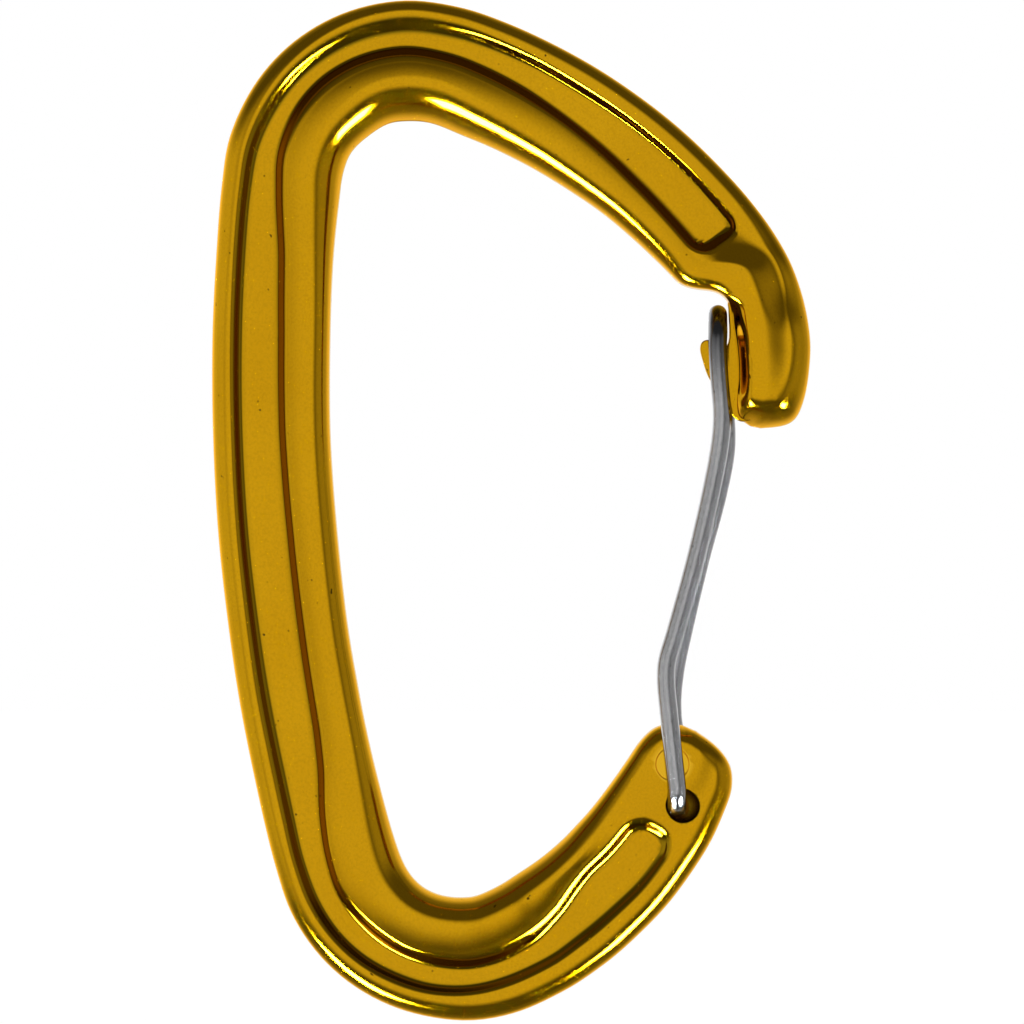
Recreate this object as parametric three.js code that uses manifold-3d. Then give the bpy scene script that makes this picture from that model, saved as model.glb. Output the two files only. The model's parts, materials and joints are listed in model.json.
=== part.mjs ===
// Wiregate carabiner: a hot-forged body with an I-beam section and one bent wire gate.
// Millimetres, +Z up. +X points from the spine to the gate, and -Y is the front face.
// The origin is the deepest point of the top basket, where the rope or sling hangs, half way
// through the thickness.
import * as THREE from "three";
import { mergeVertices } from "three/addons/utils/BufferGeometryUtils.js";
import Module from "manifold-3d";

const wasm = await Module();
wasm.setup();

// ---- Driving dimensions ----
const bodyLength = 100; // top of the basket to the bottom bend
const bodyWidth = 58.7; // back of the spine to the front of the nose
const webHalf = 2.3; // half the thickness of the web, the flat floor of the pockets
const rimHalf = 3.5; // half the thickness at the outer rim
const spineHalf = 3.9; // half the thickness of the inner flange along the spine
const basketHalf = 4.6; // the same in the two baskets, where the rope bears
const noseHalf = 4.4; // the same at the nose
const lugHalf = 3.2; // half the thickness of the flat hinge lug
const tongueHalf = 1.6; // half the thickness of the hook that the wire closes over
const wireRadius = 0.9;
const legGap = 0.3; // clear gap between each gate leg and the face of the lug
const tongueGap = 0.5; // clear gap between each gate leg and the tongue
const bendRadius = 1.7; // centreline radius where a leg turns into its hole
const endDepth = 2.3; // how far a wire end reaches under the face of the lug
const holeFloor = 0.4; // gap between a wire end and the floor of its hole
const holeClearance = 0.15; // gap round a wire end at both ends of the gate's travel
const seatGap = 0.12; // gap between the closed gate and the wall that stops it
const gateTravel = 32; // degrees from closed to fully open

// ---- The sheet that the outline is drawn on ----
// x runs from the back of the spine towards the gate, z runs down from the top. A longer or
// wider body stretches only between these lines, so the bends, the nose and the hinge keep
// their shape.
const drawn = { length: 100, width: 58.7, x: [20, 40], z: [43, 65] };
const seat = [19.4, 11.85]; // the origin, on the inner edge of the top basket

const stretch = (v, extra, [from, to]) => v + extra * THREE.MathUtils.clamp((v - from) / (to - from), 0, 1);
const place = (x, z) =>
  new THREE.Vector2(
    stretch(x, bodyWidth - drawn.width, drawn.x) - seat[0],
    seat[1] - stretch(z, bodyLength - drawn.length, drawn.z),
  );

// ---- Body stations ----
// Each row crosses the bar once: outer edge x, z, then inner edge x, z. They run from the tip of
// the nose over the top, down the spine, round the bottom and up to the end of the hinge lug.
const nose = [
  [53.75, 41.95, 52.8, 41.75],
  [54.9, 42.0, 51.95, 41.5],
  [56.25, 41.8, 51.5, 40.95],
  [57.25, 41.1, 51.6, 40.3],
  [57.8, 39.95, 52.1, 39.3],
  [58.25, 38.4, 52.35, 37.5],
  [58.5, 36.8, 52.25, 35.5],
  [58.65, 35.2, 52.05, 33.4],
  [58.7, 33.8, 51.65, 31.5],
  [58.55, 32.1, 51.15, 30.25],
  [58.3, 30.6, 50.55, 29.4],
  [57.95, 29.1, 49.75, 28.8],
  [57.45, 27.5, 48.8, 28.5],
  [56.75, 25.7, 47.6, 28.4],
  [55.85, 24.0, 46.55, 28.15],
];
// These rows also give the pocket: the distance from the outer edge to the crest of its outer
// wall, to that wall's foot, to the foot of its inner wall and to the crest of that wall.
const bar = [
  [54.65, 22.1, 45.8, 27.8, 2.3, 3.2, 6.6, 7.6],
  [53.15, 20.1, 44.8, 26.8, 2.3, 3.15, 6.7, 7.8],
  [51.65, 18.3, 43.7, 25.7, 2.3, 3.1, 6.7, 7.8],
  [48.5, 15.0, 41.25, 23.4, 2.2, 3.0, 6.65, 7.7],
  [45.45, 12.2, 38.4, 21.0, 2.2, 3.05, 6.45, 7.5],
  [42.0, 9.5, 35.45, 18.95, 2.15, 3.05, 6.1, 7.05],
  [37.75, 6.65, 31.45, 16.5, 2.05, 3.2, 5.65, 6.65],
  [33.1, 4.1, 27.4, 14.45, 1.8, 3.1, 5.1, 6.25],
  [28.65, 2.1, 24.65, 13.3, 1.65, 3.05, 4.85, 6.0],
  [24.45, 0.7, 21.5, 12.05, 1.5, 3.1, 4.75, 5.7],
  [18.85, 0.0, 19.25, 11.85, 1.5, 3.1, 4.55, 5.45],
  [13.0, 1.2, 17.35, 12.1, 1.5, 3.3, 4.45, 5.35],
  [8.0, 4.05, 15.5, 13.2, 1.5, 3.35, 4.45, 5.4],
  [4.3, 8.05, 13.7, 14.9, 1.6, 3.3, 4.55, 5.45],
  [1.75, 13.3, 12.9, 16.9, 1.65, 3.1, 4.85, 5.6],
  [0.95, 18.2, 12.5, 19.7, 1.65, 2.85, 5.25, 5.9],
  [0.45, 24.45, 11.95, 25.2, 1.6, 2.8, 6.2, 6.85],
  [0.05, 32.6, 11.65, 32.7, 1.7, 2.85, 6.55, 7.25],
  [0.1, 42.6, 11.65, 42.3, 1.75, 2.85, 6.6, 7.35],
  [0.65, 52.75, 12.3, 51.8, 1.75, 2.85, 6.6, 7.3],
  [1.8, 62.8, 13.35, 61.25, 1.7, 2.9, 6.65, 7.35],
  [2.7, 68.75, 14.3, 66.9, 1.6, 2.9, 6.55, 7.3],
  [3.5, 73.0, 14.95, 70.35, 1.65, 2.8, 6.55, 7.3],
  [4.35, 77.05, 15.75, 74.0, 1.7, 2.9, 6.15, 6.95],
  [5.15, 80.65, 16.75, 78.0, 1.7, 3.0, 5.55, 6.3],
  [6.2, 84.8, 17.7, 81.45, 1.65, 3.0, 4.95, 5.8],
  [7.75, 89.4, 18.7, 84.3, 1.75, 3.2, 4.85, 5.75],
  [10.1, 93.1, 19.55, 85.75, 1.85, 3.2, 5.0, 6.1],
  [13.2, 96.1, 20.6, 86.8, 1.9, 3.3, 4.95, 6.35],
  [17.05, 98.35, 21.9, 87.5, 1.95, 3.5, 4.95, 6.5],
  [21.1, 99.6, 23.4, 87.85, 2.05, 3.45, 5.0, 6.55],
  [25.7, 100.0, 24.65, 87.9, 2.4, 3.75, 5.1, 6.75],
  [30.2, 99.1, 25.9, 87.75, 2.6, 3.95, 5.2, 7.05],
  [34.8, 96.95, 28.5, 86.55, 2.6, 3.9, 5.25, 7.35],
  [38.45, 94.5, 31.4, 84.65, 2.7, 4.1, 6.15, 8.2],
  [41.6, 91.8, 34.3, 82.3, 2.7, 4.05, 6.9, 8.7],
  [44.4, 88.95, 35.6, 80.95, 2.6, 3.85, 6.9, 8.65],
  [46.6, 86.1, 37.1, 79.3, 2.6, 3.85, 6.7, 8.45],
];
const lug = [
  [48.95, 82.4, 39.2, 76.55],
  [50.5, 78.85, 41.0, 73.95],
  [50.95, 77.55, 41.75, 72.8],
  [51.05, 76.2, 42.55, 71.9],
  [50.9, 75.0, 43.25, 71.3],
  [50.3, 73.9, 44.0, 70.95],
  [49.35, 72.8, 44.8, 70.85],
  [48.4, 72.05, 45.6, 70.9],
  [47.25, 71.5, 46.2, 71.05],
];
const guideShares = [0.24, 0.34, 0.58, 0.7]; // where the same four lines run past the pocket's ends
const stations = [...nose, ...bar, ...lug];
const lastStation = stations.length - 1;
const topStation = nose.length + 10; // the station through the origin
const pocketFrom = nose.length + 0.35; // the crest of the pocket's end by the nose
const pocketTo = nose.length + bar.length - 0.6; // and of its end by the hinge

// Values that swell and shrink along the bar: [station, value] pairs joined by smooth steps.
const key = {
  spineTop: topStation + 7,
  spineFoot: topStation + 12,
  bottom: topStation + 20,
  hinge: nose.length + bar.length,
};
const flangeHalves = [
  [nose.length - 1, noseHalf],
  [topStation, basketHalf],
  [key.spineTop, spineHalf],
  [key.spineFoot, spineHalf],
  [key.bottom, basketHalf],
  [key.hinge - 4, rimHalf],
  [key.hinge, lugHalf],
];
const rimHalves = [
  [nose.length - 4, noseHalf],
  [nose.length + 2, rimHalf],
  [key.hinge - 4, rimHalf],
  [key.hinge, lugHalf],
];
// How wide the rounding of each edge is, seen from the front.
const innerRounds = [
  [nose.length - 6, 0.7],
  [nose.length - 1, 1],
  [nose.length + 4, 1.9],
  [topStation, 3.9],
  [key.spineTop, 1.5],
  [key.spineFoot, 1.5],
  [topStation + 16, 2.7],
  [key.bottom, 2.4],
  [key.hinge - 5, 2.2],
  [key.hinge, 0.9],
];
const outerRounds = [
  [nose.length - 8, 1.9],
  [nose.length + 2, 0.8],
  [topStation + 14, 0.8],
  [key.bottom, 1.4],
  [key.hinge - 1, 1.5],
  [key.hinge + 3, 0.9],
];
const edgePower = 2.3; // 2 would round the edges as ellipses; more gives fuller shoulders

function along(pairs, t) {
  const next = pairs.findIndex(([station]) => station >= t);
  if (next === 0) return pairs[0][1];
  if (next < 0) return pairs.at(-1)[1];
  const [[t0, v0], [t1, v1]] = [pairs[next - 1], pairs[next]];
  return THREE.MathUtils.lerp(v0, v1, THREE.MathUtils.smoothstep(t, t0, t1));
}

// ---- From a three.js geometry to a manifold solid and back ----
function solidOf(geometry) {
  const bare = geometry.clone();
  for (const name of ["normal", "uv"]) bare.deleteAttribute(name);
  const merged = mergeVertices(bare, 1e-4);
  return new wasm.Manifold(
    new wasm.Mesh({
      numProp: 3,
      vertProperties: new Float32Array(merged.attributes.position.array),
      triVerts: new Uint32Array(merged.index.array),
    }),
  );
}

function geometryOf(solid) {
  const mesh = solid.getMesh();
  const geometry = new THREE.BufferGeometry();
  geometry.setAttribute("position", new THREE.BufferAttribute(mesh.vertProperties, mesh.numProp));
  geometry.setIndex(new THREE.BufferAttribute(mesh.triVerts, 1));
  geometry.computeVertexNormals();
  return geometry;
}

// ---- The bar: a loft of sections, each with a front half and its mirror image ----
function curveThrough(points) {
  return new THREE.CatmullRomCurve3(
    points.map((p) => new THREE.Vector3(p.x, 0, p.y)),
    false,
    "centripetal",
  );
}
const outerCurve = curveThrough(stations.map(([x, z]) => place(x, z)));
const innerCurve = curveThrough(stations.map(([, , x, z]) => place(x, z)));
const planar = (v) => new THREE.Vector2(v.x, v.z);
const outerAt = (t) => planar(outerCurve.getPoint(t / lastStation));
const innerAt = (t) => planar(innerCurve.getPoint(t / lastStation));
const middleAt = (t) => outerAt(t).lerp(innerAt(t), 0.5);

// The stations where a section is made: closer together at the two ends of the pocket.
const sectionSpacing = 2.6;
const fineSpacing = 0.55;
const fineReach = { nose: 1.4, hinge: 0.8 }; // in stations, either way from a pocket end
const capSections = [0.15, 0.45]; // extra sections that round the two ends of the bar
function sectionStations() {
  const made = [0, ...capSections];
  for (let i = 0; i < lastStation; i++) {
    const middle = i + 0.5;
    const fine =
      Math.abs(middle - pocketFrom) < fineReach.nose || Math.abs(middle - pocketTo) < fineReach.hinge;
    const length = middleAt(i).distanceTo(middleAt(i + 1));
    const count = Math.max(1, Math.round(length / (fine ? fineSpacing : sectionSpacing)));
    for (let k = 0; k < count; k++) made.push(i + k / count);
  }
  return [...made, ...capSections.map((t) => lastStation - t), lastStation].sort((a, b) => a - b);
}

// Distance along the middle of the bar, for the rounded ends of the pocket.
const middleStep = 0.05;
const middleLengths = [0];
for (let t = middleStep; t <= lastStation + 1e-9; t += middleStep) {
  middleLengths.push(middleLengths.at(-1) + middleAt(t).distanceTo(middleAt(t - middleStep)));
}
const middleLength = (t) => {
  const low = Math.min(Math.floor(t / middleStep), middleLengths.length - 2);
  return THREE.MathUtils.lerp(middleLengths[low], middleLengths[low + 1], t / middleStep - low);
};

// The four guide lines of the pocket at a station, as distances from the outer edge.
function guides(t) {
  const row = (i) => {
    const values = stations[THREE.MathUtils.clamp(i, 0, lastStation)];
    const width = outerAt(i).distanceTo(innerAt(i));
    return values.length > 4 ? values.slice(4) : guideShares.map((share) => share * width);
  };
  const low = Math.min(Math.floor(t), lastStation - 1);
  const [a, b] = [row(low), row(low + 1)];
  return a.map((value, k) => THREE.MathUtils.lerp(value, b[k], t - low));
}

// How deep the pocket is at a point, from 0 outside it to 1 on its floor: the distance inside a
// rectangle with rounded corners, over the width of the wall.
const endWall = 1.1; // width of the pocket's wall at its two ends
const cornerNearNose = { outer: 1.1, inner: 2.3 };
const cornerNearHinge = { outer: 2.7, inner: 2.7 };
function pocketDepth(t, across, [crestOut, footOut, footIn, crestIn]) {
  const fromStart = middleLength(t) - middleLength(pocketFrom);
  const fromEnd = middleLength(pocketTo) - middleLength(t);
  const ends = Math.min(fromStart, fromEnd);
  const middle = (footOut + footIn) / 2;
  const outerSide = across < middle;
  const corner = fromStart < fromEnd ? cornerNearNose : cornerNearHinge;
  const radius = outerSide ? corner.outer : corner.inner;
  const wall = outerSide ? footOut - crestOut : crestIn - footIn;
  const side = ((outerSide ? across - crestOut : crestIn - across) / wall) * endWall;
  const [dx, dz] = [Math.max(radius - side, 0), Math.max(radius - ends, 0)];
  const inside = dx > 0 && dz > 0 ? radius - Math.hypot(dx, dz) : Math.min(side, ends);
  return THREE.MathUtils.clamp(inside / endWall, 0, 1);
}

// The share of the full thickness that an edge keeps at a distance from it.
const shoulder = (distance, round) => {
  const u = 1 - Math.min(Math.max(distance, 0) / round, 1);
  return (1 - u ** edgePower) ** (1 / edgePower);
};

// Distance from a point to a polyline.
function distanceTo(point, line) {
  let best = Infinity;
  for (let i = 1; i < line.length; i++) {
    const [a, b] = [line[i - 1], line[i]];
    const ab = b.clone().sub(a);
    const f = THREE.MathUtils.clamp(point.clone().sub(a).dot(ab) / Math.max(ab.lengthSq(), 1e-12), 0, 1);
    best = Math.min(best, point.distanceTo(a.clone().addScaledVector(ab, f)));
  }
  return best;
}
const edgeSamples = 4; // polyline points for each station
const edgeReach = 6 * edgeSamples; // how many of them are looked at, either way from a point
const edgeLine = (at) =>
  Array.from({ length: lastStation * edgeSamples + 1 }, (_, i) => at(i / edgeSamples));
const outerLine = edgeLine(outerAt);
const innerLine = edgeLine(innerAt);
const nearLine = (line, t) => {
  const i = Math.round(t * edgeSamples);
  return line.slice(Math.max(0, i - edgeReach), i + edgeReach + 1);
};
const capLine = (t) =>
  t < lastStation / 2 ? [outerAt(0), innerAt(0)] : [outerAt(lastStation), innerAt(lastStation)];

const outerSteps = [0, 0.12, 0.45, 1]; // section points across the outer rounding
const innerSteps = [1, 0.6, 0.3, 0.09, 0]; // and across the inner one
const floorSteps = [0, 0.33, 0.67, 1]; // and across the floor
const mostRounding = 0.92; // the share of the rim or flange that its rounding may take
function section(t) {
  const [outer, inner] = [outerAt(t), innerAt(t)];
  const width = outer.distanceTo(inner);
  const lines = guides(t);
  const [crestOut, footOut, footIn, crestIn] = lines;
  const outerRound = Math.min(along(outerRounds, t), crestOut * mostRounding);
  const innerRound = Math.min(along(innerRounds, t), (width - crestIn) * mostRounding);
  const across = [
    ...outerSteps.map((f) => f * outerRound),
    crestOut,
    ...floorSteps.map((f) => THREE.MathUtils.lerp(footOut, footIn, f)),
    crestIn,
    ...innerSteps.map((f) => width - f * innerRound),
  ];
  return across.map((a, i) => {
    const point = outer.clone().lerp(inner, a / width);
    const onEdge = i === 0 || i === across.length - 1 || t === 0 || t === lastStation;
    if (onEdge) return { point, half: 0 };
    const share = THREE.MathUtils.smoothstep(a, crestOut, crestIn);
    const face = THREE.MathUtils.lerp(along(rimHalves, t), along(flangeHalves, t), share);
    const depth = pocketDepth(t, a, lines);
    const cap = distanceTo(point, capLine(t));
    const half =
      THREE.MathUtils.lerp(face, webHalf, depth) *
      shoulder(Math.min(distanceTo(point, nearLine(outerLine, t)), cap), outerRound) *
      shoulder(Math.min(distanceTo(point, nearLine(innerLine, t)), cap), innerRound);
    return { point, half };
  });
}

function barSolid() {
  const sections = sectionStations().map(section);
  const lines = sections[0].length;
  const vertices = [];
  const index = [];
  const id = new Map();
  const vertex = (s, line, side) => {
    const { point, half } = sections[s][line];
    const tag = `${s},${line},${half === 0 ? 0 : side}`;
    if (!id.has(tag)) {
      id.set(tag, vertices.length / 3);
      vertices.push(point.x, side * half, point.y);
    }
    return id.get(tag);
  };
  for (const side of [-1, 1])
    for (let s = 1; s < sections.length; s++)
      for (let line = 1; line < lines; line++) {
        const a = vertex(s - 1, line - 1, side);
        const b = vertex(s, line - 1, side);
        const c = vertex(s, line, side);
        const d = vertex(s - 1, line, side);
        const faces = side < 0 ? [a, b, c, a, c, d] : [a, c, b, a, d, c];
        index.push(...faces);
      }
  const geometry = new THREE.BufferGeometry();
  geometry.setAttribute("position", new THREE.Float32BufferAttribute(vertices, 3));
  geometry.setIndex(index);
  return solidOf(geometry);
}

// ---- The tongue: the thin hook in the middle of the nose, left by a slot cut from each face ----
// Its back edge is buried in the nose; the wall that stops the closed wire faces the gate.
const loopTop = [49.6, 30.75]; // where the wire crosses the middle of the thickness
const stopWall = loopTop[0] + wireRadius + seatGap;
const tongueOutline = [
  [54.5, 29.5],
  [51.6, 29.9],
  [50.5, 29.5],
  [stopWall, 30.2],
  [stopWall, 33.6],
  [50.3, 34.1],
  [49.6, 33.9],
  [48.6, 33.3],
  [48.05, 33.5],
  [47.85, 34.1],
  [48.15, 35.5],
  [48.7, 37.0],
  [50.0, 38.9],
  [51.0, 40.7],
  [51.9, 41.3],
  [53.5, 41.0],
];
function tongueSolid() {
  const shape = new THREE.Shape(tongueOutline.map(([x, z]) => place(x, z)));
  const slab = new THREE.ExtrudeGeometry(shape, { depth: 2 * tongueHalf, bevelEnabled: false });
  return solidOf(slab.rotateX(Math.PI / 2).translate(0, tongueHalf, 0));
}

// ---- The hinge: two blind holes, one from each face of the lug ----
// The wire ends are offset, one above the other, and this offset is the gate's spring. The gate
// turns about the point half way between them.
const pivot = place(45.7, 76.85);
const frontEnd = new THREE.Vector2(-0.15, -2.2); // the front wire end, from the pivot
const travel = THREE.MathUtils.degToRad(gateTravel);
const openEnd = frontEnd.clone().rotateAround(new THREE.Vector2(), travel);
const holeRadius = wireRadius + frontEnd.distanceTo(openEnd) / 2 + holeClearance;
const holeOffset = frontEnd.clone().add(openEnd).divideScalar(2);
const legY = lugHalf + legGap + wireRadius;
const holeDepth = endDepth + holeFloor;
const holeSides = 28;
const overshoot = 1; // how far a cutter stands proud of the face that it cuts
function holeSolid(side) {
  const cutter = new THREE.CylinderGeometry(holeRadius, holeRadius, holeDepth + overshoot, holeSides);
  const middle = lugHalf + overshoot - (holeDepth + overshoot) / 2;
  const [x, z] = [pivot.x - side * holeOffset.x, pivot.y - side * holeOffset.y];
  return solidOf(cutter.translate(x, side * middle, z));
}

function bodyGeometry() {
  const forged = barSolid().add(tongueSolid());
  return geometryOf(forged.subtract(holeSolid(-1)).subtract(holeSolid(1)));
}

// ---- The gate: one length of round wire, from the front hole up, over the hook and down again ----
const loopY = tongueHalf + tongueGap + wireRadius;
const frontLeg = [
  [49.55, 33.9, loopY],
  [49.7, 37.0, loopY + 0.05],
  [49.95, 40.6, loopY + 0.15],
  [49.75, 43.4, loopY + 0.25],
  [48.9, 48.0, loopY + 0.45],
  [47.3, 54.9, loopY + 0.8],
  [45.4, 61.8, loopY + 1.15],
  [44.55, 64.8, legY - 0.1],
  [44.45, 66.6, legY],
  [44.75, 70.0, legY],
  [45.25, 74.5, legY],
];
const backLeg = [
  [49.6, 33.9, loopY],
  [49.9, 37.0, loopY + 0.05],
  [50.4, 40.6, loopY + 0.15],
  [50.45, 44.0, loopY + 0.25],
  [49.65, 48.4, loopY + 0.45],
  [47.95, 54.8, loopY + 0.8],
  [46.2, 62.2, loopY + 1.15],
  [45.5, 65.6, legY - 0.1],
  [45.2, 68.6, legY],
  [45.35, 71.2, legY],
];
const bendSteps = 5;
const loopSteps = 8;

// The bend from a leg into its hole, then the straight end: side is -1 at the front, 1 at the back.
function endPoints(side) {
  const x = pivot.x - side * frontEnd.x;
  const z = pivot.y - side * frontEnd.y;
  const inside = legY - bendRadius;
  const bend = Array.from({ length: bendSteps + 1 }, (_, i) => {
    const angle = (i / bendSteps) * (Math.PI / 2);
    const y = inside + bendRadius * Math.cos(angle);
    return new THREE.Vector3(x, side * y, z + bendRadius * (1 - Math.sin(angle)));
  });
  const tip = lugHalf - endDepth;
  const straight = [(inside + tip) / 2, tip].map((y) => new THREE.Vector3(x, side * y, z));
  return [...bend, ...straight];
}

function gateCurve() {
  const leg = (points, side) =>
    points.map(([x, z, y]) => {
      const at = place(x, z);
      return new THREE.Vector3(at.x, side * y, at.y);
    });
  const top = place(...loopTop);
  const springLine = place(...frontLeg[0].slice(0, 2)).y;
  const loop = Array.from({ length: loopSteps - 1 }, (_, i) => {
    const angle = ((i + 1) / loopSteps) * Math.PI;
    const rise = Math.sin(angle) * (top.y - springLine);
    return new THREE.Vector3(top.x, -loopY * Math.cos(angle), springLine + rise);
  });
  return new THREE.CatmullRomCurve3(
    [
      ...endPoints(-1).reverse(),
      ...leg(frontLeg, -1).reverse(),
      ...loop,
      ...leg(backLeg, 1),
      ...endPoints(1),
    ],
    false,
    "centripetal",
  );
}

const wireSides = 8;
const wireSteps = 96;
function gateGeometry() {
  const ring = Array.from({ length: wireSides }, (_, i) => {
    const angle = (i / wireSides) * 2 * Math.PI;
    return new THREE.Vector2(wireRadius * Math.cos(angle), wireRadius * Math.sin(angle));
  });
  return new THREE.ExtrudeGeometry(new THREE.Shape(ring), {
    steps: wireSteps,
    extrudePath: gateCurve(),
    bevelEnabled: false,
  });
}

// ---- The assembly ----
const goldAnodised = new THREE.MeshStandardMaterial({ color: 0xbf8f00, roughness: 0.3, metalness: 1 });
const stainlessWire = new THREE.MeshStandardMaterial({ color: 0x9a9a9a, roughness: 0.35, metalness: 1 });

function named(name, geometry, material) {
  const mesh = new THREE.Mesh(geometry, material);
  mesh.name = name;
  return mesh;
}

const carabiner = new THREE.Group();
carabiner.name = "wiregate_carabiner";
carabiner.add(named("forged_body", bodyGeometry(), goldAnodised));
carabiner.add(named("wire_gate", gateGeometry(), stainlessWire));

export default carabiner;
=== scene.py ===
# %% [markdown]
# # A wiregate carabiner
#
# A carabiner is two pieces: a body forged from one aluminium bar, anodised gold, and a gate bent
# from one length of stainless wire. The model arrives from CAD at its real size, in metres, with
# +Z up, the gate on the +X side and the front face towards -Y. What is missing are the looks:
# the fine forged surface, the finish of both metals, and the light that shows them.

import json
import math

import bpy
import numpy as np
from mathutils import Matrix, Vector


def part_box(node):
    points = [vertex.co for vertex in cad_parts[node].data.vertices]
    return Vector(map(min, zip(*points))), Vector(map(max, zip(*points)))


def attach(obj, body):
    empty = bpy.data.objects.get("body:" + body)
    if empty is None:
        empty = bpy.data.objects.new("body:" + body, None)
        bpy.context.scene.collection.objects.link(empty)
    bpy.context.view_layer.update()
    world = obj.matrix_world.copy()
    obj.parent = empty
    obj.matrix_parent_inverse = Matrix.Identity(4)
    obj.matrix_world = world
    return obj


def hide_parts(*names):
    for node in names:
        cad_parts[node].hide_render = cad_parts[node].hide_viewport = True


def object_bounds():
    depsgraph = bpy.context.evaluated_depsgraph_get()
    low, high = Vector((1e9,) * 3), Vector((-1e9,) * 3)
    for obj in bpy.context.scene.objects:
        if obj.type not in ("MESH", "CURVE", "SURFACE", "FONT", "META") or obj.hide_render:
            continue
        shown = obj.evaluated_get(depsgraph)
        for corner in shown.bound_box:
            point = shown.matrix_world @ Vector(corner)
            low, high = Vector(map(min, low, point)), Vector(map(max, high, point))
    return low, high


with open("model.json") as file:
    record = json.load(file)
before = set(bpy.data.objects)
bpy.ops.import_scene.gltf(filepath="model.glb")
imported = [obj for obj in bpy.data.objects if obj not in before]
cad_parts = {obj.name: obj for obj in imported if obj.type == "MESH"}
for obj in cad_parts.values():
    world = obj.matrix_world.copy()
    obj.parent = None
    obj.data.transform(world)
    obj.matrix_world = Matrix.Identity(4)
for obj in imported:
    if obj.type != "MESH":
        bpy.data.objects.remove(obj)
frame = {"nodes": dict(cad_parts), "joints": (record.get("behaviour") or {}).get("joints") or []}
cad_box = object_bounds()
bpy.context.scene.view_settings.view_transform = "Standard"
for node in frame["nodes"]:
    low, high = ([round(v * 1000, 1) for v in corner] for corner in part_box(node))
    print(node, "from", low, "to", high, "mm")

# %% [markdown]
# ## Small tools
#
# A few helpers keep the later cells short: one clears the selection, because an operator acts on
# everything that is selected, and one finishes a modifier, so that the mesh holds its result.

# %% Helpers for selecting and modifying
MM = 0.001


def select_only(obj):
    bpy.ops.object.select_all(action="DESELECT")
    obj.select_set(True)
    bpy.context.view_layer.objects.active = obj


def modify(obj, kind, **settings):
    """Adds a modifier with these settings and applies it."""
    select_only(obj)
    modifier = obj.modifiers.new(kind.title(), kind)
    for name, value in settings.items():
        setattr(modifier, name, value)
    bpy.ops.object.modifier_apply(modifier=modifier.name)


def recalculate_normals(obj):
    select_only(obj)
    bpy.ops.object.mode_set(mode="EDIT")
    bpy.ops.mesh.select_all(action="SELECT")
    bpy.ops.mesh.normals_make_consistent(inside=False)
    bpy.ops.object.mode_set(mode="OBJECT")


def faces_of(obj):
    return f"{obj.name}: {len(obj.data.polygons)} faces"


# %% [markdown]
# ## The line of the body
#
# A forged bar has no straight edge anywhere. Its front view is set by an outer and an inner edge,
# and the pocket that makes it an I-beam follows them at its own distances. Each row below crosses
# the bar once, from the tip of the nose over the top, down the spine, round the bottom and up to
# the hinge lug. x runs from the back of the spine, z down from the top, in millimetres. A
# Catmull-Rom curve through the rows is used, because it passes through every point and adds no
# bulges of its own.

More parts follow.
